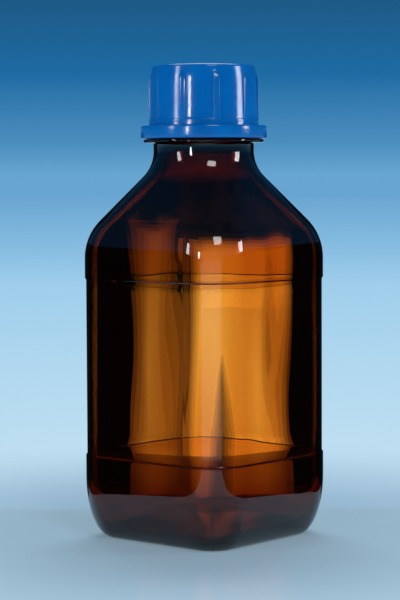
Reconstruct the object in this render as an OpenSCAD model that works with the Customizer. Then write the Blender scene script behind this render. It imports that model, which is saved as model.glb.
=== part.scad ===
// Square reagent bottle with a screw cap and a faced sealing liner.
// Millimetres, +Z up, origin on the standing plane under the bottle's axis.

/* [Body] */
// Width across the flats, at the bands above and below the label panel
body_width = 95; // [80:1:114]
// Radius of the upright corners, on the outside
corner_radius = 21; // [16:0.5:26]
// Height at which the shoulder starts
body_height = 137; // [130:1:170]
// Glass thickness of the side walls
body_wall = 3; // [2:0.1:4]

/* [Base] */
// Height of the curved heel
heel_height = 30; // [18:0.5:34]
// How far the heel draws in under the body
heel_inset = 12; // [7:0.5:13]
// Width of the ring that the bottle stands on
bearing_width = 3.6; // [2.5:0.1:5]
// Rise of the underside at its middle
push_up = 4; // [2:0.5:7]
// Glass thickness of the bottom
base_thickness = 5; // [3.5:0.5:8]

/* [Label panel] */
// Height of the panel's lower edge
panel_bottom = 41.5; // [36:0.5:46]
// Height of the panel between its edges
panel_height = 85; // [50:0.5:92]
// Depth of the panel below the bands
panel_recess = 0.6; // [0.3:0.1:1]
// Height of the bevel at each edge of the panel
panel_bevel = 0.8; // [0.5:0.1:2]

/* [Shoulder] */
// Height of the shoulder, from the body to the neck
shoulder_height = 52; // [46:0.5:70]
// Radius of the outward curve above the body, on the corner
shoulder_radius = 26; // [20:0.5:32]
// Radius of the inward curve below the neck, on the corner
neck_sweep = 17.5; // [12:0.5:22]

/* [Neck] */
// Outside diameter of the neck under its ring
neck_diameter = 49; // [46:0.1:54]
// Length of the plain neck under its ring
neck_length = 4; // [3:0.1:10]
// Glass thickness of the neck
neck_wall = 4; // [3:0.1:5]
// How far the ring under the cap stands out from the neck
ring_overhang = 4.8; // [3:0.1:7]
// Height of the ring under the cap
ring_height = 1.8; // [1.8:0.1:4]

/* [Finish] */
// Height of the threaded finish above the ring
finish_height = 31.4; // [26:0.2:38]
// Diameter of the finish between its threads
finish_diameter = 41.2; // [39.6:0.2:42]
// Glass thickness of the finish
finish_wall = 4.1; // [3:0.1:5.5]
// How far the glass thread stands out from the finish
thread_depth = 1.7; // [1:0.1:2.4]

/* [Cap] */
// Gap between the cap's flange and the ring
cap_gap = 0.3; // [0.2:0.1:1.5]
// Thickness of the cap's top
cap_top = 2.2; // [1.6:0.1:3]
// Gap between the cap's bore and the glass thread
thread_play = 0.9; // [0.4:0.1:1.2]
// Thickness of the barrel just under its rounded top
barrel_top_wall = 2; // [1.5:0.1:4]
// Thickness of the barrel at the band above the flange
barrel_wall = 3.3; // [2.5:0.1:6]
// How far the band and the ribs stand out from the barrel
rib_height = 0.35; // [0.2:0.05:0.8]
// Height of the band above the flange
band_height = 2.9; // [2:0.1:5]
// How far the flange stands out from the band
flange_overhang = 3.95; // [3:0.05:6]
// Height of the flange
flange_height = 6.2; // [4.5:0.1:8]
// Grip ribs round the barrel
rib_count = 10; // [6:1:16]
// Width of a grip rib
rib_width = 3.1; // [2:0.1:5]

/* [Liner] */
// Thickness of the soft backing disc
backing_thickness = 1.7; // [1:0.1:2.5]
// Thickness of the facing film that meets the rim
facing_thickness = 0.3; // [0.2:0.1:0.5]
// How far the liner reaches out past the finish
liner_margin = 1.6; // [0.8:0.1:1.8]
// Gap round the liner in the cap
liner_clearance = 0.4; // [0.2:0.1:0.5]

/* [Hidden] */
$fn = 96;

// Straight steps in each corner of a lofted ring, and along each curve of the loft
corner_steps = 11;
curve_steps = 8;
// Overlap where two stretches of glass are fused
lap = 0.1;

// The rounded square: its corners turn about points this far out on X and on Y
corner_centre = body_width / 2 - corner_radius;
bearing_r = corner_radius - heel_inset;
panel_top = panel_bottom + panel_height;
neck_r = neck_diameter / 2;
neck_inner_r = neck_r - neck_wall;
neck_z = body_height + shoulder_height;
ring_r = neck_r + ring_overhang;
ring_z = neck_z + neck_length;
ring_top = ring_z + ring_height;
rim_z = ring_top + finish_height;
finish_r = finish_diameter / 2;
mouth_r = finish_r - finish_wall;

// The cap hangs on its liner, and the liner lies on the rim
flange_z = ring_top + cap_gap;
backing_z = rim_z + facing_thickness;
cap_ceiling = backing_z + backing_thickness;
cap_z = cap_ceiling + cap_top;
band_z = flange_z + flange_height;
barrel_z = band_z + band_height;
bore_r = finish_r + thread_depth + thread_play;
barrel_top_r = bore_r + barrel_top_wall;
barrel_r = bore_r + barrel_wall;
band_r = barrel_r + rib_height;
flange_r = band_r + flange_overhang;
liner_r = finish_r + liner_margin;
seat_r = liner_r + liner_clearance;

// Points along an arc, from angle a to angle b
function arc(centre, r, a, b, steps = curve_steps) =
    [for (i = [0:steps]) let (t = a + (b - a) * i / steps) centre + r * [cos(t), sin(t)]];

function reversed(list) = [for (i = [len(list) - 1:-1:0]) list[i]];

// A level ring round a square whose corners turn at radius r about points c out on X and Y.
// Each flat of the ring touches the true outline, so the width across the flats is exact.
function ring_points(c, r, z) = [
    for (q = [0:3], i = [0:corner_steps - 1])
        let (
            a = 90 * (q + (i + 0.5) / corner_steps),
            reach = r / cos(45 / corner_steps),
            x = q == 0 || q == 3 ? c : -c,
            y = q < 2 ? c : -c
        )
            [x + reach * cos(a), y + reach * sin(a), z]
];

// An S between two upright lines that are dx apart, over a fall of dz: an inward curve of
// radius a, a straight slope and an outward curve of radius b. Points are [outward, down].
function s_angle(dx, dz, a, b) =
    let (p = a + b) atan2(dz, p - dx) - atan2(sqrt(pow(p - dx, 2) + dz * dz - p * p), p);
function s_curve(dx, dz, a, b) =
    let (t = s_angle(dx, dz, a, b))
        concat(
            [for (i = [0:curve_steps]) let (u = t * i / curve_steps) [a * (1 - cos(u)), a * sin(u)]],
            [for (i = [curve_steps:-1:0])
                let (u = t * i / curve_steps) [dx - b * (1 - cos(u)), dz - b * sin(u)]]
        );

// Rings down a shoulder that turns the round neck of radius neck into the rounded square (c, r)
function shoulder_rings(neck, c, r, a, b) =
    let (dx = c * sqrt(2) + r - neck)
        [for (p = s_curve(dx, shoulder_height, a, b))
            let (t = p[0] / dx) ring_points(c * t, neck + (r - neck) * t, neck_z - p[1])];

// Rings up a heel from height z to the wall: a quarter of an ellipse, inset wide and high tall
function heel_rings(c, r, z, inset, high) = [
    for (i = [0:curve_steps])
        let (u = 90 * i / curve_steps) ring_points(c, r - inset * (1 - sin(u)), z + high * (1 - cos(u)))
];

// Rings out over a domed floor to the ring (c, r) at height z
function dome_rings(c, r, z, rise, steps = 5) =
    [for (i = [1:steps]) let (k = i / steps) ring_points(c * k, r * k, z + rise * (1 - k * k))];

// A closed solid through rings of equal length, with a flat end at the first and the last
module skin(rings) {
    n = len(rings[0]);
    last = len(rings) - 1;
    walls = [
        for (j = [0:last - 1], i = [0:n - 1])
            let (a = j * n + i, b = j * n + (i + 1) % n) each [[a, b, b + n], [a, b + n, a + n]]
    ];
    ends = [[for (i = [0:n - 1]) n - 1 - i], [for (i = [0:n - 1]) last * n + i]];
    polyhedron([for (ring = rings) each reversed(ring)], concat(ends, walls));
}

// The blown body and shoulder, as one skin: out over the underside, up the outside, across the
// neck and down the inside to the floor
module blown_body() {
    c = corner_centre;
    r = corner_radius;
    inner_r = r - body_wall;
    floor_r = inner_r - heel_inset;
    neck_end = neck_z + neck_length / 2;
    outside_neck = neck_r - lap;
    inside_neck = neck_inner_r + lap;
    skin(concat(
        dome_rings(c, bearing_r - bearing_width, 0, push_up),
        heel_rings(c, r, 0, heel_inset, heel_height),
        [
            ring_points(c, r, panel_bottom - panel_bevel),
            ring_points(c, r - panel_recess, panel_bottom),
            ring_points(c, r - panel_recess, panel_top),
            ring_points(c, r, panel_top + panel_bevel)
        ],
        reversed(shoulder_rings(outside_neck, c, r, neck_sweep, shoulder_radius)),
        [ring_points(0, outside_neck, neck_end), ring_points(0, inside_neck, neck_end)],
        shoulder_rings(inside_neck, c, inner_r, neck_sweep + neck_wall, shoulder_radius - body_wall),
        reversed(heel_rings(c, inner_r, base_thickness, heel_inset, heel_height - base_thickness / 2)),
        reversed(dome_rings(c, floor_r, base_thickness, push_up))
    ));
}

// The neck, its ring and the finish, turned about the axis
module turned_neck() {
    edge = 0.8;
    fillet = 1.2;
    root_fillet = 0.5;
    lip = 1.4;
    start = neck_z + lap;
    rotate_extrude()
        polygon(concat(
            [[neck_inner_r, start], [neck_r, start]],
            arc([neck_r + fillet, ring_z - fillet], fillet, 180, 90),
            arc([ring_r - edge, ring_z + edge], edge, -90, 0),
            arc([ring_r - edge, ring_top - edge], edge, 0, 90),
            arc([finish_r + root_fillet, ring_top + root_fillet], root_fillet, 270, 180),
            arc([finish_r - lip, rim_z - lip], lip, 0, 90),
            arc([mouth_r + lip, rim_z - lip], lip, 90, 180),
            [[mouth_r, ring_top], [neck_inner_r, start + fillet]]
        ));
}

module glass_bottle() {
    color("saddlebrown") {
        blown_body();
        turned_neck();
    }
}

// The cap as it is turned: rounded top, tapered barrel, band and flange, and inside it the
// bell above the neck ring, the thread's bore and the liner's seat with its retaining bead
module cap_shell() {
    round_top = 1.3;
    soft = 0.25;
    flange_edge = 0.9;
    panel_margin = 3.9;
    panel_depth = 0.4;
    barrel_knee = cap_z - 5.4;
    knee_r = barrel_r - 0.6;
    panel_r = barrel_top_r - round_top - panel_margin;
    bead = 0.35;
    bead_z = rim_z - 0.5;
    bell_wall = 2.6;
    bell_r = flange_r - bell_wall;
    bell_top = band_z - 1.6;
    lead = 1.2;
    rotate_extrude()
        polygon(concat(
            [[0, cap_ceiling], [0, cap_z - panel_depth], [panel_r, cap_z - panel_depth]],
            [[panel_r + panel_depth, cap_z]],
            arc([barrel_top_r - round_top, cap_z - round_top], round_top, 90, 0),
            [[knee_r, barrel_knee], [barrel_r, barrel_z]],
            arc([band_r - soft, barrel_z - soft], soft, 90, 0),
            arc([band_r + soft, band_z + soft], soft, 180, 270),
            arc([flange_r - flange_edge, band_z - flange_edge], flange_edge, 90, 0),
            arc([flange_r - soft, flange_z + soft], soft, 0, -90),
            [[bell_r, flange_z], [bell_r, bell_top - lead], [bell_r - lead, bell_top]],
            [[bore_r + lead, bell_top], [bore_r, bell_top + lead], [bore_r, bead_z - bead - lead]],
            arc([seat_r, bead_z], bead, 270, 90),
            [[seat_r, cap_ceiling]]
        ));
}

// Flat bars that stand round the barrel, each with one rounded top corner
module rib_bars() {
    height = cap_z - 3.9 - barrel_z;
    round_corner = rib_width * 0.9;
    half = rib_width / 2;
    for (i = [0:rib_count - 1])
        rotate([0, 0, 360 * i / rib_count])
            translate([0, 0, barrel_z])
                rotate([90, 0, 90])
                    linear_extrude(flange_r)
                        polygon(concat(
                            [[-half, -1], [half, -1]],
                            arc([half - round_corner, height - round_corner], round_corner, 0, 90),
                            [[-half, height]]
                        ));
}

// The grip ribs: the bars, trimmed to a turned shell that draws in at its top
module grip_ribs() {
    root_r = barrel_top_r - 1;
    rib_r = band_r - 0.05;
    fade = 3.4;
    rib_top = cap_z - 3.6;
    intersection() {
        rotate_extrude()
            polygon([
                [root_r, barrel_z - 0.6], [rib_r, barrel_z - 0.6], [rib_r - 0.2, rib_top - fade],
                [rib_r - 1.2, rib_top], [root_r, rib_top]
            ]);
        rib_bars();
    }
}

module screw_cap() {
    color("royalblue") {
        cap_shell();
        grip_ribs();
    }
}

module liner_backing() {
    color("whitesmoke")
        translate([0, 0, backing_z])
            cylinder(h = backing_thickness, r = liner_r);
}

module liner_facing() {
    color("ivory")
        translate([0, 0, rim_z])
            cylinder(h = facing_thickness, r = liner_r);
}

glass_bottle();
screw_cap();
liner_backing();
liner_facing();
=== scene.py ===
# %% [markdown]
# # A square amber reagent bottle
# A reagent bottle keeps light-sensitive chemicals in the dark: the brown glass stops blue and
# ultraviolet light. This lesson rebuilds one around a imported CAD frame, which already holds the
# sizes and the motion of the cap. Here we make what the eye sees: real glass with an inside and
# an outside, a moulded cap with its ribs and thread, and the two-layer liner under it.

# %% The frame
from math import atan2, cos, hypot, pi, radians, sin, sqrt, tan

import bmesh
import bpy
from mathutils import Matrix, Vector, noise


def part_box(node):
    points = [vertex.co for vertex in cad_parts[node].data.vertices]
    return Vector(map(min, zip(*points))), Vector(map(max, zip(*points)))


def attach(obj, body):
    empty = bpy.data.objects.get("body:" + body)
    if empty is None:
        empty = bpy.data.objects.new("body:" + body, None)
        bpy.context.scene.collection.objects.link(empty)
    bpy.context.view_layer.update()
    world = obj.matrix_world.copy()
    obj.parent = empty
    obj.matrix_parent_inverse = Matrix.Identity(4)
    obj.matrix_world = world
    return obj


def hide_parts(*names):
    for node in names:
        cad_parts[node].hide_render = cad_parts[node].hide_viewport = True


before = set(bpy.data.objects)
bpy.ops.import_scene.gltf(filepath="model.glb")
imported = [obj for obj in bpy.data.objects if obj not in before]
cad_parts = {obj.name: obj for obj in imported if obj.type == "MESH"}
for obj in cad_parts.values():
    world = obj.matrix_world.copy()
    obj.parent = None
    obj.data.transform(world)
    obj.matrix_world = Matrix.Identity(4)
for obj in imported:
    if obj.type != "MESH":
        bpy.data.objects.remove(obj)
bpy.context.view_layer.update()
bpy.ops.object.select_all(action="DESELECT")
print("nodes:", sorted(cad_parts))

# %% [markdown]
# The sizes come from the frame wherever it holds them: how wide and tall the bottle is, where the
# cap starts and ends, how thick the liner is. The other sizes are the bottle maker's own: wall
# thickness, corner radius, the curves of the shoulder. They are written in millimetres, as on a
# drawing, and turned into metres once.

# %% Sizes of the glass
MM = 0.001
bottle_low, bottle_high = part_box("glass_bottle")
cap_low, cap_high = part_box("screw_cap")
facing_low, facing_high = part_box("liner_facing")
backing_low, backing_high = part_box("liner_backing")

body_width = bottle_high.x - bottle_low.x
rim_z = bottle_high.z
corner_radius = 21 * MM
corner_centre = body_width / 2 - corner_radius
wall = 3 * MM
body_height = 137 * MM
shoulder_height = 52 * MM
shoulder_radius = 26 * MM
neck_sweep = 17.5 * MM
neck_r = 24.5 * MM
neck_wall = 4 * MM
neck_inner_r = neck_r - neck_wall
neck_z = body_height + shoulder_height
ring_z = neck_z + 4 * MM
ring_top = ring_z + 1.8 * MM
ring_r = 29.3 * MM
finish_r = 20.6 * MM
mouth_r = 16.5 * MM
thread_pitch = 4 * MM
thread_depth = 1.7 * MM
thread_turns = 2.5
thread_low = rim_z - 5 * MM - thread_pitch * thread_turns
heel_height = 30 * MM
heel_inset = 12 * MM
bearing_width = 3.6 * MM
push_up = 4 * MM
base_thickness = 5 * MM
panel_bottom = 41.5 * MM
panel_top = panel_bottom + 85 * MM
panel_recess = 0.6 * MM
panel_bevel = 0.8 * MM
print(f"body {body_width / MM:.1f} mm square, rim at {rim_z / MM:.1f} mm")

# %% [markdown]
# ## The camera
# The bottle was seen a little from above with one corner turned towards the lens, from about a
# metre away, with a long lens that keeps its upright edges upright. The camera comes first, so
# that every later step can be looked at from the same place.

# %% Camera
camera_azimuth = radians(40.3)
camera_distance = 1.005
camera_height = 0.1775
camera_tilt = radians(3.5)
camera_roll = radians(0.25)
camera_left = 1.95 * MM

camera = bpy.data.objects.new("camera", bpy.data.cameras.new("camera"))
bpy.context.scene.collection.objects.link(camera)
camera.data.lens = 123
camera.data.sensor_width = 36
across = Vector((cos(camera_azimuth), sin(camera_azimuth), 0))
back = Vector((sin(camera_azimuth), -cos(camera_azimuth), 0))
camera.location = back * camera_distance - across * camera_left + Vector((0, 0, camera_height))
camera.rotation_euler = (pi / 2 - camera_tilt, camera_roll, camera_azimuth)
bpy.context.scene.camera = camera
print("camera at", [round(value, 3) for value in camera.location])

# %% [markdown]
# ## The outline of the glass
# Seen from above the bottle is a square with rounded corners low down and a circle at the neck.
# One formula covers both: a square whose corners turn at a radius `r` about points that lie `c`
# out on X and on Y. When `c` shrinks to nothing the square becomes a circle. The formula gives
# the distance from the axis in any direction, so a ring of points can be laid on any outline and
# the upright lines of the mesh stay straight above each other.

# %% Outlines and curves
def outline(c, r):
    """Distance from the axis to a square whose corners turn at radius r about points c out."""

    def reach(angle):
        turn = abs((angle + pi / 4) % (pi / 2) - pi / 4)
        if (c + r) * tan(turn) <= c:
            return (c + r) / cos(turn)
        return c * (cos(turn) + sin(turn)) + sqrt(r * r - c * c * (1 - sin(2 * turn)))

    return reach


def arc(centre, radius, start, end, steps=8):
    """Points along an arc in the plane of the profile, from one angle to another, in degrees."""
    angles = [radians(start + (end - start) * i / steps) for i in range(steps + 1)]
    return [(centre[0] + radius * cos(a), centre[1] + radius * sin(a)) for a in angles]


def s_curve(dx, dz, inner, outer, steps=12):
    """An S between two upright lines dx apart: inward curve, straight slope, outward curve."""
    both = inner + outer
    slope = sqrt((both - dx) ** 2 + dz * dz - both * both)
    turn = atan2(dz, both - dx) - atan2(slope, both)
    angles = [turn * i / steps for i in range(steps + 1)]
    down = [(inner * (1 - cos(a)), inner * sin(a)) for a in angles]
    straight = 4
    low = (dx - outer * (1 - cos(turn)), dz - outer * sin(turn))
    high = down[-1]
    middle = [
        (high[0] + (low[0] - high[0]) * i / straight, high[1] + (low[1] - high[1]) * i / straight)
        for i in range(1, straight)
    ]
    return down + middle + [(dx - outer * (1 - cos(a)), dz - outer * sin(a)) for a in reversed(angles)]


# %% [markdown]
# ## Rings from the underside to the rim, and back down the inside
# A glass wall needs both of its faces, because light bends once going in and once coming out.
# The whole bottle is therefore one closed skin. It starts at the middle of the underside, runs
# up the outside, turns over the rim and runs down the inside to the floor. Each ring is three
# numbers: how far out its corners turn, at what radius, and at what height.

# %% The outside, ring by ring
def dome(c, r, z, rise, steps=6):
    """Rings from near the middle of a domed floor out to its edge."""
    shares = [i / steps for i in range(1, steps + 1)]
    return [(c * k, r * k, z + rise * (1 - k * k)) for k in shares]


def heel(c, r, z, inset, high, steps=14):
    """Rings up a heel, along a quarter of an ellipse."""
    angles = [pi / 2 * i / steps for i in range(steps + 1)]
    return [(c, r - inset * (1 - sin(a)), z + high * (1 - cos(a))) for a in angles]


def shoulder(neck, c, r, inner, outer):
    """Rings down the shoulder, from the round neck to the rounded square of the body."""
    dx = c * sqrt(2) + r - neck
    return [
        (c * out / dx, neck + (r - neck) * out / dx, neck_z - down)
        for out, down in s_curve(dx, shoulder_height, inner, outer)
    ]


def panel_edge(c, r, z, step):
    """A soft step of the panel's depth between z and z + step; a negative step goes down."""
    return [
        (c, r - panel_recess * (1 - cos(pi * k)) / 2, z + step * k) for k in (0, 0.25, 0.5, 0.75, 1)
    ]


def turned(points):
    """Round rings from a turned profile of (radius, height) points."""
    return [(0, radius, height) for radius, height in points]


panel_steps = 16
panel_middle = [
    (corner_centre, corner_radius - panel_recess, panel_bottom + (panel_top - panel_bottom) * k / panel_steps)
    for k in range(1, panel_steps)
]
bearing_r = corner_radius - heel_inset
edge = 0.8 * MM
fillet = 1.2 * MM
root_fillet = 0.5 * MM
lip = 1.4 * MM
outside = (
    dome(corner_centre, bearing_r - bearing_width, 0, push_up)
    + heel(corner_centre, corner_radius, 0, heel_inset, heel_height)
    + [
        (corner_centre, corner_radius, heel_height + (panel_bottom - heel_height) * k)
        for k in (0.3, 0.6, 0.85)
    ]
    + panel_edge(corner_centre, corner_radius, panel_bottom - panel_bevel, panel_bevel)
    + panel_middle
    + list(reversed(panel_edge(corner_centre, corner_radius, panel_top + panel_bevel, -panel_bevel)))
    + [(corner_centre, corner_radius, panel_top + 2 * MM)]
    + list(reversed(shoulder(neck_r, corner_centre, corner_radius, neck_sweep, shoulder_radius)))
)
neck_rings = turned(
    [(neck_r, neck_z + 1.5 * MM)]
    + arc((neck_r + fillet, ring_z - fillet), fillet, 180, 90)
    + arc((ring_r - edge, ring_z + edge), edge, -90, 0)
    + arc((ring_r - edge, ring_top - edge), edge, 0, 90)
    + arc((finish_r + root_fillet, ring_top + root_fillet), root_fillet, 270, 180)
)
rim = turned(
    arc((finish_r - lip, rim_z - lip), lip, 0, 90) + arc((mouth_r + lip, rim_z - lip), lip, 90, 180)
)
print(len(outside) + len(neck_rings) + len(rim), "plain rings outside")

# %% The inside, ring by ring
inner_r = corner_radius - wall
inner_heel = heel(corner_centre, inner_r, base_thickness, heel_inset, heel_height - base_thickness / 2)
inside = (
    turned([(mouth_r, rim_z - 3 * MM), (mouth_r, ring_top + 4 * MM), (mouth_r, ring_top)])
    + turned([(neck_inner_r - 0.4 * MM, neck_z + 1.6 * MM)])
    + shoulder(neck_inner_r, corner_centre, inner_r, neck_sweep + neck_wall, shoulder_radius - wall)
    + [(corner_centre, inner_r, z) for _, _, z in reversed(panel_middle)]
    + list(reversed(inner_heel))
    + list(reversed(dome(corner_centre, inner_r - heel_inset, base_thickness, push_up)))
)
print(len(inside), "rings inside")

# %% [markdown]
# ## The glass thread
# The thread is a rounded ridge that climbs the finish two and a half times and fades at both
# ends, where a cap has to start. It could be swept as a separate coil, but then two pieces of
# glass would overlap, and light would bend at a surface that isn't there. So the finish is laid
# with many close rings, and each point stands out by the height of the ridge at its place.

# %% A ridge that climbs
def ridge(angle, height, low, turns, depth, crest, root):
    """How far a right-handed thread stands out at a point. Crest and root are half widths."""
    share = (angle % (2 * pi)) / (2 * pi)
    turn = round((height - low) / thread_pitch - share) + share
    if not 0 <= turn <= turns:
        return 0
    away = abs(height - low - thread_pitch * turn)
    rise = min(1, max(0, (root - away) / (root - crest)))
    fade_in = 0.12
    fade = min(1, turn / fade_in, (turns - turn) / fade_in)
    return depth * rise * rise * (3 - 2 * rise) * fade


def close_heights(low, high, step=0.36 * MM):
    """Evenly spaced heights from low to high, about one step apart."""
    count = round((high - low) / step)
    return [low + (high - low) * i / count for i in range(count + 1)]


def threaded_finish(angle, height):
    return finish_r + ridge(angle, height, thread_low, thread_turns, thread_depth, 0.45 * MM, 1.25 * MM)


thread_heights = close_heights(thread_low - 2 * MM, rim_z - lip - 0.3 * MM)
print("thread from", round(thread_low / MM, 1), "mm,", len(thread_heights), "rings")

# %% [markdown]
# ## Blowing the glass
# The mesh begins as a plane whose four corners are rounded by a vertex bevel, which gives the
# outline of the body. The ring is then extruded once for each line of the lists above and laid
# on the new outline. A spin couldn't make this, because the body isn't round, and a stack of
# scaled squares would keep its corners at the neck.
#
# The two halves of the mould meet on two opposite corners and leave a fine upright line there.
# Two extra points on each side of those corners give the line its width.

# %% A ring that can be raised
corner_steps = 20
side_cuts = 11
seam_height = 0.12 * MM


def on_seam(angle):
    return abs(sin(angle - pi / 4)) < 0.0005


def add_seam_points(ring):
    """Splits the two edges beside each seam and draws the new points in close to it."""
    mesh = bmesh.from_edit_mesh(ring.data)
    seams = [point for point in mesh.verts if on_seam(atan2(point.co.y, point.co.x))]
    beside = [side for seam in seams for side in seam.link_edges]
    for side in beside:
        start, end = side.verts
        seam = start if start in seams else end
        _, new = bmesh.utils.edge_split(side, seam, 0.15)
    bmesh.update_edit_mesh(ring.data)
    return len(beside)


def start_ring(name):
    """A flat ring on the body's outline, open in the middle, in edit mode with all selected."""
    bpy.ops.object.select_all(action="DESELECT")
    bpy.ops.mesh.primitive_plane_add(size=body_width)
    ring = bpy.context.object
    ring.name = ring.data.name = name
    bpy.ops.object.mode_set(mode="EDIT")
    bpy.ops.mesh.select_all(action="SELECT")
    bpy.ops.mesh.bevel(affect="VERTICES", offset=corner_radius, segments=corner_steps)
    bpy.ops.mesh.select_mode(type="EDGE")
    bpy.ops.mesh.select_all(action="DESELECT")
    mesh = bmesh.from_edit_mesh(ring.data)
    for side in mesh.edges:
        side.select = side.calc_length() > corner_radius
    bmesh.update_edit_mesh(ring.data)
    bpy.ops.mesh.subdivide(number_cuts=side_cuts)
    bpy.ops.mesh.select_all(action="SELECT")
    bpy.ops.mesh.delete(type="ONLY_FACE")
    add_seam_points(ring)
    bpy.ops.mesh.select_all(action="SELECT")
    return ring


def lay(ring, reach, height):
    """Moves the selected ring out to an outline, at a height."""
    mesh = bmesh.from_edit_mesh(ring.data)
    for point in mesh.verts:
        if point.select:
            angle = atan2(point.co.y, point.co.x)
            out = reach(angle, height)
            point.co = (out * cos(angle), out * sin(angle), height)
    bmesh.update_edit_mesh(ring.data)


def raise_ring(ring, reach, height):
    """Extrudes the selected ring and lays the new one on an outline, at a height."""
    bpy.ops.mesh.extrude_edges_move()
    lay(ring, reach, height)


def close_ring(ring, height):
    """Closes the selected ring with a fan about the axis, at a height. The merge comes later."""
    raise_ring(ring, lambda angle, z: 0, height)


def select_open_ring(ring):
    """Selects the edges that have a face on one side only."""
    bpy.ops.mesh.select_all(action="DESELECT")
    mesh = bmesh.from_edit_mesh(ring.data)
    for side in mesh.edges:
        side.select = len(side.link_faces) == 1
    bmesh.update_edit_mesh(ring.data)


def weld(ring):
    """Merges the points that lie on each other, turns all faces outward and leaves edit mode."""
    bpy.ops.mesh.select_all(action="SELECT")
    bpy.ops.mesh.remove_doubles(threshold=0.002 * MM)
    bpy.ops.mesh.normals_make_consistent(inside=False)
    bpy.ops.object.mode_set(mode="OBJECT")
    print(f"{ring.name}: {len(ring.data.vertices)} points, {len(ring.data.polygons)} faces")


# %% [markdown]
# A blown wall is never even. The glass is pressed flat against the mould outside and left free
# inside, so the outer face is true and the inner one drifts. That drift bends what is seen
# through the bottle into long soft streaks, so the inside is laid with a slow wander in it, slower
# up and down than across.

# %% The skin of the bottle
wander = 0.6 * MM
wander_across = 55
wander_up = 14


def true_face(c, r):
    reach = outline(c, r)
    return lambda angle, height: reach(angle) + (seam_height if on_seam(angle) else 0)


def drifting_face(c, r):
    reach = outline(c, r)

    def drifting(angle, height):
        out = reach(angle)
        place = Vector((
            out * cos(angle) * wander_across,
            out * sin(angle) * wander_across,
            height * wander_up,
        ))
        return out + wander * noise.noise(place) * min(1, c / corner_centre)

    return drifting


bottle = start_ring("amber_bottle")
first, *rest = outside + neck_rings
lay(bottle, true_face(*first[:2]), first[2])
for c, r, z in rest:
    raise_ring(bottle, true_face(c, r), z)
for z in thread_heights:
    raise_ring(bottle, threaded_finish, z)
for c, r, z in rim:
    raise_ring(bottle, true_face(c, r), z)
for c, r, z in inside:
    raise_ring(bottle, drifting_face(c, r), z)
close_ring(bottle, base_thickness + push_up)
select_open_ring(bottle)
close_ring(bottle, push_up)
weld(bottle)

# %% [markdown]
# ## The knurled foot
# Under the foot the mould leaves short bars, side by side, so that the hot bottle touches the
# conveyor as little as it can. They run straight in from the edge, all the way round. Each gap
# between two bars is cut by a cone that narrows inward, because the corners turn so tightly that
# plain rods would run into each other.

# %% The gaps between the bars
def stations(count, r):
    """Evenly spaced places along the outline (corner_centre, r): a point and its direction."""
    straight = 2 * corner_centre
    turn = pi / 2 * r
    for i in range(count):
        side, along = divmod((i + 0.5) * 4 * (straight + turn) / count, straight + turn)
        past = max(0, along - straight) / r
        base = Vector((corner_centre, min(along, straight) - corner_centre, 0))
        place = base + Vector((cos(past), sin(past), 0)) * r
        onto_side = Matrix.Rotation(side * pi / 2, 4, "Z")
        yield onto_side @ Matrix.Translation(place) @ Matrix.Rotation(past, 4, "Z")


def copies(model, matrices, name):
    """One object from copies of a model, each with its own mesh. The model itself is removed."""
    made = []
    for matrix in matrices:
        copy = model.copy()
        copy.data = model.data.copy()
        copy.data.transform(matrix)
        bpy.context.scene.collection.objects.link(copy)
        made.append(copy)
    bpy.data.objects.remove(model)
    bpy.ops.object.select_all(action="DESELECT")
    for copy in made:
        copy.select_set(True)
    bpy.context.view_layer.objects.active = made[0]
    bpy.ops.object.join()
    made[0].name = name
    return made[0]


def combine(piece, other, operation):
    """Cuts another object out of a piece or unites the two, and removes the other one."""
    change = piece.modifiers.new(operation.lower(), "BOOLEAN")
    change.operation = operation
    change.object = other
    change.solver = "EXACT"
    bpy.ops.object.select_all(action="DESELECT")
    bpy.context.view_layer.objects.active = piece
    bpy.ops.object.modifier_apply(modifier=change.name)
    bpy.data.objects.remove(other)
    print(f"{piece.name}: {operation.lower()} leaves {len(piece.data.polygons)} faces")


bar_gap_r = 0.8 * MM
bar_gap_inner_r = 0.35 * MM
bar_gap_length = 7 * MM
bar_gaps = 106
bpy.ops.object.select_all(action="DESELECT")
bpy.ops.mesh.primitive_cone_add(
    vertices=12, radius1=bar_gap_inner_r, radius2=bar_gap_r, depth=bar_gap_length,
    rotation=(0, pi / 2, 0),
)
bpy.ops.object.transform_apply(location=True, rotation=True, scale=True)
gap = bpy.context.object
gaps = copies(gap, stations(bar_gaps, bearing_r - 0.2 * MM), "bar_gaps")
combine(bottle, gaps, "DIFFERENCE")
bpy.ops.object.select_all(action="DESELECT")
bottle.select_set(True)
bpy.ops.object.shade_smooth_by_angle(angle=radians(40))

# %% [markdown]
# ## Amber glass
# Iron and sulphur in the melt make amber glass eat up blue light, most of the green and some of
# the red. That happens inside the glass, so the colour is set as absorption in its volume: thin
# walls look honey brown and long paths through an edge go nearly black, with no paint anywhere.
# The surface itself is clear and smooth, with a very slight ripple from the mould.

# %% Amber glass
def new_material(name):
    made = bpy.data.materials.new(name)
    made.use_nodes = True
    return made, made.node_tree.nodes, made.node_tree.links


def pattern(nodes, links, scale, detail=2.0, stretch=(1, 1, 1)):
    """Noise on the piece's own coordinates, in features per metre."""
    place = nodes.new("ShaderNodeTexCoord")
    squeeze = nodes.new("ShaderNodeMapping")
    squeeze.inputs["Scale"].default_value = stretch
    cloud = nodes.new("ShaderNodeTexNoise")
    cloud.inputs["Scale"].default_value = scale
    cloud.inputs["Detail"].default_value = detail
    links.new(place.outputs["Object"], squeeze.inputs["Vector"])
    links.new(squeeze.outputs["Vector"], cloud.inputs["Vector"])
    return cloud.outputs["Fac"]


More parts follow.
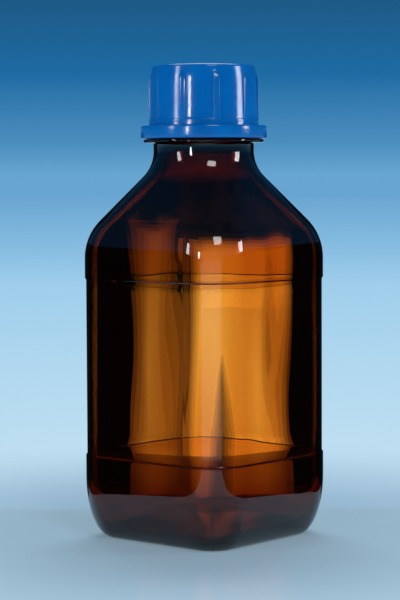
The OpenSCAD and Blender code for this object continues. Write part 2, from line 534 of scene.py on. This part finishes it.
def spread(nodes, links, value, low, high):
    """Maps a pattern that lies about 0.3 to 0.7 onto a range."""
    reach = nodes.new("ShaderNodeMapRange")
    reach.inputs["From Min"].default_value = 0.3
    reach.inputs["From Max"].default_value = 0.7
    reach.inputs["To Min"].default_value = low
    reach.inputs["To Max"].default_value = high
    links.new(value, reach.inputs["Value"])
    return reach.outputs["Result"]


def relief(nodes, links, shader, value, height, strength=1.0):
    """Raises a pattern as a bump of a height in metres."""
    bump = nodes.new("ShaderNodeBump")
    bump.inputs["Distance"].default_value = height
    bump.inputs["Strength"].default_value = strength
    links.new(value, bump.inputs["Height"])
    links.new(bump.outputs["Normal"], shader.inputs["Normal"])


amber, nodes, links = new_material("amber_glass")
shader = nodes["Principled BSDF"]
shader.inputs["Base Color"].default_value = (1, 1, 1, 1)
shader.inputs["Transmission Weight"].default_value = 1
shader.inputs["Roughness"].default_value = 0.0
shader.inputs["IOR"].default_value = 1.52
ripple = pattern(nodes, links, 45, detail=1.0, stretch=(1, 1, 0.35))
relief(nodes, links, shader, ripple, 0.12 * MM)
absorb = nodes.new("ShaderNodeVolumeAbsorption")
absorb.inputs["Color"].default_value = (0.88, 0.72, 0.5, 1)
absorb.inputs["Density"].default_value = 2300
links.new(absorb.outputs["Volume"], nodes["Material Output"].inputs["Volume"])
bottle.data.materials.clear()
bottle.data.materials.append(amber)
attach(bottle, "bottle")
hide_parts("glass_bottle")

# %% [markdown]
# ## The screw cap
# The cap is one moulding of polypropylene. Its outside is a slightly tapered barrel on a band and
# a wide flange. Inside are the bell over the neck ring, the threaded bore, a small bead that keeps
# the liner in, and the liner's seat. It is turned like the bottle, ring by ring from the middle
# of its top down the outside and up the inside, which lets the thread be laid in the same way.

# %% Sizes of the cap
flange_z = cap_low.z
cap_z = cap_high.z
flange_r = (cap_high.x - cap_low.x) / 2
cap_ceiling = backing_high.z
band_r = flange_r - 3.95 * MM
barrel_r = band_r - 0.35 * MM
bore_r = finish_r + thread_depth + 0.9 * MM
barrel_top_r = bore_r + 2 * MM
band_z = flange_z + 6.2 * MM
barrel_z = band_z + 2.9 * MM
liner_r = (backing_high.x - backing_low.x) / 2
seat_r = liner_r + 0.4 * MM
cap_columns = 200
cap_thread_depth = 1.4 * MM
cap_thread_turns = 2
print(f"cap {(cap_z - flange_z) / MM:.1f} mm tall, {2 * flange_r / MM:.1f} mm over its flange")


# %% The outside of the cap
def run(start, end, step):
    """Points along a straight stretch between two (radius, height) points, ends left out."""
    count = max(1, round(hypot(end[0] - start[0], end[1] - start[1]) / step))
    return [
        (start[0] + (end[0] - start[0]) * i / count, start[1] + (end[1] - start[1]) * i / count)
        for i in range(1, count)
    ]


round_top = 1.3 * MM
soft = 0.25 * MM
flange_edge = 0.9 * MM
panel_depth = 0.4 * MM
panel_r = barrel_top_r - round_top - 3.9 * MM
knee = (barrel_r - 0.6 * MM, cap_z - 5.4 * MM)
barrel_foot = (barrel_r, barrel_z + 0.15 * MM)
cap_outside = (
    [(panel_r * k, cap_z - panel_depth) for k in (0.1, 0.4, 0.7, 0.96)]
    + [(panel_r, cap_z - panel_depth), (panel_r + 0.15 * MM, cap_z - 0.3 * MM)]
    + [(panel_r + 0.3 * MM, cap_z - 0.08 * MM), (panel_r + 0.55 * MM, cap_z)]
    + arc((barrel_top_r - round_top, cap_z - round_top), round_top, 90, 0)
    + run((barrel_top_r, cap_z - round_top), knee, 1.4 * MM)
    + [knee]
    + run(knee, barrel_foot, 1.6 * MM)
    + arc((barrel_r + 0.15 * MM, barrel_foot[1]), 0.15 * MM, 180, 270, steps=3)
    + arc((band_r - soft, barrel_z - soft), soft, 90, 0, steps=4)
    + [(band_r, barrel_z - 1.2 * MM)]
    + arc((band_r + soft, band_z + soft), soft, 180, 270, steps=4)
    + [(flange_r - 2 * MM, band_z)]
    + arc((flange_r - flange_edge, band_z - flange_edge), flange_edge, 90, 0)
    + run((flange_r, band_z - flange_edge), (flange_r, flange_z + soft), 1.6 * MM)
    + arc((flange_r - soft, flange_z + soft), soft, 0, -90, steps=4)
)

# %% The inside of the cap
bell_r = flange_r - 2.6 * MM
bell_top = band_z - 1.6 * MM
lead = 1.2 * MM
bead = 0.35 * MM
bead_z = rim_z - 0.5 * MM
bore_low = bell_top + lead
bore_high = bead_z - bead - lead
cap_thread_low = thread_low - 1.5 * MM
cap_bell = [
    (bell_r + 0.3 * MM, flange_z), (bell_r, flange_z + 0.3 * MM), (bell_r, bell_top - lead),
    (bell_r - 0.4 * lead, bell_top - 0.3 * lead), (bell_r - lead, bell_top),
    (bore_r + lead, bell_top), (bore_r + 0.3 * lead, bell_top + 0.4 * lead),
]
cap_seat = (
    arc((seat_r, bead_z), bead, 270, 90, steps=6)
    + [(seat_r, cap_ceiling - 0.3 * MM), (seat_r - 0.3 * MM, cap_ceiling), (seat_r * 0.5, cap_ceiling)]
)


def threaded_bore(angle, height):
    return bore_r - ridge(
        angle, height, cap_thread_low, cap_thread_turns, cap_thread_depth, 0.35 * MM, 0.95 * MM
    )


bpy.ops.object.select_all(action="DESELECT")
bpy.ops.mesh.primitive_circle_add(vertices=cap_columns, radius=barrel_top_r, fill_type="NOTHING")
cap = bpy.context.object
cap.name = cap.data.name = "blue_cap"
bpy.ops.object.mode_set(mode="EDIT")
bpy.ops.mesh.select_mode(type="EDGE")
bpy.ops.mesh.select_all(action="SELECT")
first, *rest = cap_outside + cap_bell
lay(cap, lambda angle, z: first[0], first[1])
for radius, height in rest:
    raise_ring(cap, lambda angle, z: radius, height)
for height in close_heights(bore_low, bore_high):
    raise_ring(cap, threaded_bore, height)
for radius, height in cap_seat:
    raise_ring(cap, lambda angle, z: radius, height)
close_ring(cap, cap_ceiling)
select_open_ring(cap)
close_ring(cap, cap_z - panel_depth)
weld(cap)

# %% [markdown]
# ## The grip ribs
# Ten flat bars stand on the band. They keep to one radius while the barrel tapers in behind them,
# so they stand out further towards the top, and there they lean back into the barrel. One top
# corner of each is well rounded and the other is square. One bar is shaped from a cube, its edges
# are softened with a bevel, and it is copied round the barrel and united with it.

# %% One rib, then ten
rib_count = 10
rib_width = 3.1 * MM
rib_r = band_r - 0.05 * MM
rib_root = barrel_top_r - 1.6 * MM
rib_low = barrel_z - 0.8 * MM
rib_high = cap_z - 3.6 * MM
rib_lean = 1.25 * MM
rib_fade = 4 * MM
rib_round = 2.8 * MM
rib_soft = 0.28 * MM

bpy.ops.object.select_all(action="DESELECT")
bpy.ops.mesh.primitive_cube_add(
    size=1,
    location=((rib_root + rib_r) / 2, 0, (rib_low + rib_high) / 2),
    scale=(rib_r - rib_root, rib_width, rib_high - rib_low),
)
bpy.ops.object.transform_apply(location=True, rotation=True, scale=True)
rib = bpy.context.object
bpy.ops.object.mode_set(mode="EDIT")
bpy.ops.mesh.select_mode(type="EDGE")
bpy.ops.mesh.select_all(action="DESELECT")
mesh = bmesh.from_edit_mesh(rib.data)
for side in mesh.edges:
    side.select = all(point.co.y > 0 and point.co.z > rib_high - 0.1 * MM for point in side.verts)
bmesh.update_edit_mesh(rib.data)
bpy.ops.mesh.bevel(offset=rib_round, segments=8)
for share in (0.0, 0.3, 0.6, 0.8):
    bpy.ops.mesh.select_all(action="SELECT")
    bpy.ops.mesh.bisect(plane_co=(0, 0, rib_high - rib_fade * (1 - share)), plane_no=(0, 0, 1))
mesh = bmesh.from_edit_mesh(rib.data)
for point in mesh.verts:
    if point.co.x > rib_r - 0.1 * MM:
        share = max(0, (point.co.z - rib_high + rib_fade) / rib_fade)
        point.co.x -= rib_lean * share ** 1.8
bmesh.update_edit_mesh(rib.data)
bpy.ops.object.mode_set(mode="OBJECT")
soften = rib.modifiers.new("soften", "BEVEL")
soften.width = rib_soft
soften.segments = 3
soften.limit_method = "ANGLE"
soften.angle_limit = radians(40)
bpy.ops.object.modifier_apply(modifier=soften.name)
ribs = copies(rib, [Matrix.Rotation(2 * pi * i / rib_count, 4, "Z") for i in range(rib_count)], "ribs")
combine(cap, ribs, "UNION")
bpy.ops.object.select_all(action="DESELECT")
cap.select_set(True)
bpy.ops.object.shade_smooth_by_angle(angle=radians(32))

# %% [markdown]
# Moulded polypropylene is dyed through, and glossy where the mould was polished. Up close its
# colour is a little cloudy and its gloss a little uneven, with a fine skin that softens the edge
# of each reflection. All three come from noise on the piece's own coordinates.

# %% Blue plastic
blue, nodes, links = new_material("blue_plastic")
shader = nodes["Principled BSDF"]
tint = nodes.new("ShaderNodeMix")
tint.data_type = "RGBA"
tint.inputs["A"].default_value = (0.0, 0.125, 0.42, 1)
tint.inputs["B"].default_value = (0.0, 0.165, 0.50, 1)
cloudy = pattern(nodes, links, 70, detail=3.0)
links.new(spread(nodes, links, cloudy, 0.0, 1.0), tint.inputs["Factor"])
links.new(tint.outputs["Result"], shader.inputs["Base Color"])
links.new(spread(nodes, links, pattern(nodes, links, 160), 0.10, 0.18), shader.inputs["Roughness"])
shader.inputs["IOR"].default_value = 1.49
relief(nodes, links, shader, pattern(nodes, links, 700), 0.012 * MM)
cap.data.materials.clear()
cap.data.materials.append(blue)
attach(cap, "cap")
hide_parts("screw_cap")

# %% [markdown]
# ## The liner
# Under the cap's top lies a soft foam disc, and over it a thin white film that chemicals can't
# harm. The rim presses a ring into the film, and the film swells a little on both sides of it.

# %% Foam and film
def disc(name, edge_rings, low, high):
    """A closed disc laid ring by ring from the middle of its underside to the middle of its top."""
    bpy.ops.object.select_all(action="DESELECT")
    bpy.ops.mesh.primitive_circle_add(vertices=128, radius=liner_r, fill_type="NOTHING")
    made = bpy.context.object
    made.name = made.data.name = name
    bpy.ops.object.mode_set(mode="EDIT")
    bpy.ops.mesh.select_mode(type="EDGE")
    bpy.ops.mesh.select_all(action="SELECT")
    first, *rest = edge_rings
    lay(made, lambda angle, z: first[0], first[1])
    for radius, height in rest:
        raise_ring(made, lambda angle, z: radius, height)
    close_ring(made, high)
    select_open_ring(made)
    close_ring(made, low)
    weld(made)
    bpy.ops.object.select_all(action="DESELECT")
    made.select_set(True)
    bpy.ops.object.shade_smooth_by_angle(angle=radians(35))
    return made


foam_edge = 0.35 * MM
foam_low, foam_high = backing_low.z, backing_high.z
foam = disc(
    "foam_disc",
    [(0.1 * liner_r, foam_low), (0.6 * liner_r, foam_low)]
    + arc((liner_r - foam_edge, foam_low + foam_edge), foam_edge, -90, 0, steps=4)
    + arc((liner_r - foam_edge, foam_high - foam_edge), foam_edge, 0, 90, steps=4)
    + [(0.6 * liner_r, foam_high), (0.1 * liner_r, foam_high)],
    foam_low, foam_high,
)
film_low, film_high = facing_low.z, facing_high.z
swell = 0.12 * MM
film = disc(
    "film_disc",
    [(0.1 * liner_r, film_low - swell), (mouth_r - 0.4 * MM, film_low - swell)]
    + [(mouth_r + 0.5 * MM, film_low - 0.08 * MM), (mouth_r + 1.2 * MM, film_low)]
    + [(finish_r - 1.2 * MM, film_low), (finish_r - 0.2 * MM, film_low - 0.06 * MM)]
    + [(finish_r + 0.8 * MM, film_low - 0.06 * MM), (liner_r - 0.08 * MM, film_low)]
    + [(liner_r, film_low + 0.08 * MM), (liner_r, film_high - 0.05 * MM)]
    + [(liner_r - 0.05 * MM, film_high), (0.6 * liner_r, film_high), (0.1 * liner_r, film_high)],
    film_low - swell, film_high,
)

foam_white, nodes, links = new_material("liner_foam")
shader = nodes["Principled BSDF"]
tint = nodes.new("ShaderNodeMix")
tint.data_type = "RGBA"
tint.inputs["A"].default_value = (0.70, 0.70, 0.66, 1)
tint.inputs["B"].default_value = (0.82, 0.82, 0.79, 1)
cells = pattern(nodes, links, 1400)
links.new(spread(nodes, links, cells, 0.0, 1.0), tint.inputs["Factor"])
links.new(tint.outputs["Result"], shader.inputs["Base Color"])
shader.inputs["Roughness"].default_value = 0.85
relief(nodes, links, shader, cells, 0.08 * MM)
foam.data.materials.append(foam_white)

film_white, nodes, links = new_material("liner_film")
shader = nodes["Principled BSDF"]
tint = nodes.new("ShaderNodeMix")
tint.data_type = "RGBA"
tint.inputs["A"].default_value = (0.80, 0.79, 0.74, 1)
tint.inputs["B"].default_value = (0.87, 0.86, 0.82, 1)
scuffed = pattern(nodes, links, 220, detail=4.0, stretch=(1, 0.2, 1))
links.new(spread(nodes, links, scuffed, 0.0, 1.0), tint.inputs["Factor"])
links.new(tint.outputs["Result"], shader.inputs["Base Color"])
links.new(spread(nodes, links, scuffed, 0.3, 0.48), shader.inputs["Roughness"])
relief(nodes, links, shader, scuffed, 0.01 * MM)
film.data.materials.append(film_white)

for piece, node, slot in ((foam, "liner_backing", "liner_backing"), (film, "liner_facing", "liner_facing")):
    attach(piece, "liner")
    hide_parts(node)

# %% [markdown]
# ## The studio
# The floor is pale and slightly glossy, and far away it melts into a plain pale blue backdrop, so
# no edge shows behind the glass. It is partly a painted glow of its own: a pale pool of painted
# light round the bottle, which fills in the bottle's contact shadow, turning bluer further out.
# Clear glass has no look of its own: it shows what is around it. Against a plain backdrop it would
# be an even dark brown, so a studio sets bright cards close behind such a bottle, for light
# through its middle, and black boards beside it.

# %% Floor
floor_size = 24
sky_blue = (0.138, 0.376, 0.638, 1)
deep_blue = (0.014, 0.098, 0.231, 1)
bpy.ops.mesh.primitive_plane_add(size=floor_size)
floor = bpy.context.object
floor.name = "floor"
paint, nodes, links = new_material("floor_paint")
shader = nodes["Principled BSDF"]
shader.inputs["Base Color"].default_value = (0.42, 0.66, 0.82, 1)
shader.inputs["IOR"].default_value = 1.3
links.new(spread(nodes, links, pattern(nodes, links, 25), 0.10, 0.16), shader.inputs["Roughness"])
# Painted light: the floor mixes in a glow of its own. A quarter of it near the bottle fills in the bottle's
# contact shadow, and far away the floor is all glow, where it melts into the backdrop.
place_on_floor = nodes.new("ShaderNodeTexCoord")
from_axis = nodes.new("ShaderNodeVectorMath")
from_axis.operation = "LENGTH"
links.new(place_on_floor.outputs["Object"], from_axis.inputs[0])
far = nodes.new("ShaderNodeMapRange")
far.interpolation_type = "SMOOTHSTEP"
far.inputs["From Min"].default_value = 0.07
far.inputs["From Max"].default_value = 0.36
far.inputs["To Min"].default_value = 0.25
links.new(from_axis.outputs["Value"], far.inputs["Value"])
one_step_back = nodes.new("ShaderNodeMath")
one_step_back.inputs[1].default_value = camera_distance
links.new(from_axis.outputs["Value"], one_step_back.inputs[0])
nearness = nodes.new("ShaderNodeMath")
nearness.operation = "DIVIDE"
nearness.inputs[0].default_value = 1
links.new(one_step_back.outputs["Value"], nearness.inputs[1])
# Painted pool of light: the glow is pale close to the bottle and bluer further out.
painted_glow_colours = nodes.new("ShaderNodeValToRGB")
painted_glow_colours.color_ramp.interpolation = "B_SPLINE"
painted_glow_colours.color_ramp.elements[0].color = sky_blue
painted_glow_colours.color_ramp.elements[0].position = 0.1
painted_glow_colours.color_ramp.elements[1].color = (0.58, 0.77, 0.88, 1)
painted_glow_colours.color_ramp.elements[1].position = 0.85
half_way = painted_glow_colours.color_ramp.elements.new(0.3)
half_way.color = (0.34, 0.63, 0.86, 1)
links.new(nearness.outputs["Value"], painted_glow_colours.inputs["Fac"])
glow = nodes.new("ShaderNodeEmission")
links.new(painted_glow_colours.outputs["Color"], glow.inputs["Color"])
blend = nodes.new("ShaderNodeMixShader")
links.new(far.outputs["Result"], blend.inputs["Fac"])
links.new(shader.outputs["BSDF"], blend.inputs[1])
links.new(glow.outputs["Emission"], blend.inputs[2])
links.new(blend.outputs["Shader"], nodes["Material Output"].inputs["Surface"])
floor.data.materials.append(paint)

# %% [markdown]
# The backdrop could be a curved sheet, but the world itself has no edge and throws no shadow. A
# ramp over the height of each direction takes it from the pale floor up to a deep blue.

# %% Backdrop
world = bpy.data.worlds.new("studio")
bpy.context.scene.world = world
world.use_nodes = True
nodes, links = world.node_tree.nodes, world.node_tree.links
direction = nodes.new("ShaderNodeTexCoord")
split = nodes.new("ShaderNodeSeparateXYZ")
links.new(direction.outputs["Generated"], split.inputs["Vector"])
fall = nodes.new("ShaderNodeValToRGB")
fall.color_ramp.elements[0].color = sky_blue
fall.color_ramp.elements[1].color = (0.01, 0.05, 0.12, 1)
rising_blues = (
    (0.0144, (0.072, 0.275, 0.52, 1)),
    (0.0483, (0.012, 0.148, 0.37, 1)),
    (0.085, deep_blue),
)
for height, colour in rising_blues:
    fall.color_ramp.elements.new(height).color = colour
links.new(split.outputs["Z"], fall.inputs["Fac"])
links.new(fall.outputs["Color"], nodes["Background"].inputs["Color"])
print("floor", floor_size, "m across, under a backdrop of", len(fall.color_ramp.elements), "blues")

# %% [markdown]
# Every light is a soft rectangle. It could be a glowing mesh, but an area light is quicker and
# has less noise. A small function gives each one its brightness per area, so a larger light is
# not a brighter one, and two more turn "to the right of the lens" into a place in the room.

# %% Soft lights
def soft_light(name, place, aim, width, height, radiance, tint=(1, 1, 1)):
    """A rectangular soft light that faces a point, as bright per area as it is told."""
    lamp = bpy.data.lights.new(name, "AREA")
    lamp.shape = "RECTANGLE"
    lamp.size = width
    lamp.size_y = height
    lamp.energy = radiance * pi * width * height
    lamp.color = tint
    light = bpy.data.objects.new(name, lamp)
    bpy.context.scene.collection.objects.link(light)
    light.location = place
    light.rotation_euler = (Vector(aim) - Vector(place)).to_track_quat("-Z", "Y").to_euler()
    light.visible_camera = False
    return light


def place(right, towards, up):
    """A point given as the camera sees it: to the right, towards the lens, and up."""
    return across * right + back * towards + Vector((0, 0, up))


def around(turn, distance, up):
    """A point at an angle round the bottle from the camera, positive to the right."""
    return place(distance * sin(radians(turn)), distance * cos(radians(turn)), up)


# %% Lights on the cap and shoulder
cap_height = (flange_z + cap_z) / 2
soft_light("top_light", place(0, -0.7, 1.3), (0, 0, 0), 0.9, 0.6, 7)
soft_light("strip_light", around(-30, 1.0, 0.31), (0, 0, cap_height), 0.05, 0.22, 40)
soft_light("left_light", around(-60, 0.9, 0.40), (0, 0, cap_height), 0.12, 0.3, 12)
soft_light("right_light", around(82, 0.9, 0.38), (0, 0, cap_height), 0.2, 0.28, 12)
soft_light("fill_light", around(20, 1.3, 1.3), (0, 0, cap_height), 0.5, 0.5, 9)
print("5 soft lights round the cap, at", round(cap_height / MM, 1), "mm")

# %% [markdown]
# The cards behind the bottle have soft edges, because each is a few lights in front of each
# other that get smaller. Only rays that pass through the glass see them, so they leave no stain
# on the floor and no glare on the far side of the bottle.

# %% Bright cards
card_behind = -72 * MM
card_tint = (0.47, 1, 1)


def card(name, left, right, low, high, radiance, steps=4, soft=2.4 * MM):
    """A glow close behind the bottle: cards in front of each other, each a little smaller."""
    for step in range(steps):
        less = step * soft
        middle = (left + right) / 2
        centre = (low + high - less) / 2
        light = soft_light(
            f"{name}_{step}", place(middle, card_behind - step * MM, centre), place(middle, 0, centre),
            right - left - 2 * less, high - low - less, radiance / steps, card_tint,
        )
        light.visible_diffuse = light.visible_glossy = False


card("left_card", -39 * MM, -14 * MM, 26 * MM, 158 * MM, 2.4)
card("left_low", -37 * MM, -16 * MM, 0, 34 * MM, 1.1)
card("right_card", -13 * MM, 44 * MM, 28 * MM, 146 * MM, 5.6)
card("right_low", -11 * MM, 42 * MM, 0, 38 * MM, 2.0)
card("high_card", -6 * MM, 38 * MM, 108 * MM, 148 * MM, 2.6)
print("5 cards,", round(-card_behind / MM), "mm behind the axis")

# %% [markdown]
# Black boards stand at both sides and behind the cards, so the edges of the glass have something
# dark to show. Each is laid as one face from its corners. They show only in reflections and
# through the glass: the camera doesn't see them directly, and they throw no shadow.

# %% Black boards
black, nodes, links = new_material("black_cloth")
nodes["Principled BSDF"].inputs["Base Color"].default_value = (0.004, 0.004, 0.004, 1)
nodes["Principled BSDF"].inputs["Roughness"].default_value = 1


def black_board(name, corners, cloth=black):
    """A flat black board through its corners, seen only in reflections and through glass."""
    bpy.ops.mesh.primitive_circle_add(vertices=len(corners), radius=1, fill_type="NGON")
    board = bpy.context.object
    board.name = name
    for point, corner in zip(board.data.vertices, corners):
        point.co = corner
    board.visible_camera = board.visible_diffuse = board.visible_shadow = False
    board.data.materials.append(cloth)


side_board_out, side_board_top, rear_board_top = 128 * MM, 0.16, 0.2
side_corners = ((-0.2, 0), (0.3, 0), (0.3, side_board_top), (-0.2, side_board_top))
for side, word in ((-1, "left"), (1, "right")):
    black_board(f"{word}_board", [place(side * side_board_out, t, z) for t, z in side_corners])
for word, inner, outer in (("left", -41 * MM, -110 * MM), ("right", 46 * MM, 110 * MM)):
    corners = ((inner, 0), (outer, 0), (outer, rear_board_top), (inner, rear_board_top))
    black_board(f"{word}_rear_board", [place(x, card_behind - 6 * MM, z) for x, z in corners])
print("4 black boards")

# %% [markdown]
# A dark streak runs up the middle of the glow. A black strip would leave it with hard edges, so
# it is four layers of thin gauze, each a little wider and taller than the one before.

# %% A strip of gauze
gauze, nodes, links = new_material("black_gauze")
nodes["Principled BSDF"].inputs["Base Color"].default_value = (0.004, 0.004, 0.004, 1)
nodes["Principled BSDF"].inputs["Alpha"].default_value = 0.27
gauze_middle = 11
gauze_half_widths = [(0, 6.5), (38, 5.5), (60, 3.0), (76, 0.6)]
for layer in range(4):
    wider, taller = 0.4 + 0.3 * layer, 0.9 + 0.06 * layer
    rising = [(gauze_middle - w * wider, z * taller) for z, w in gauze_half_widths]
    falling = [(gauze_middle + w * wider, z * taller) for z, w in reversed(gauze_half_widths)]
    strip = [place(x * MM, card_behind + (2 + layer) * MM, z * MM) for x, z in rising + falling]
    black_board(f"gauze_{layer}", strip, gauze)
print("4 layers of gauze")

# %% [markdown]
# Colours are shown as they are, with no film look over them.

# %% Colour and the end
bpy.context.scene.view_settings.view_transform = "Standard"
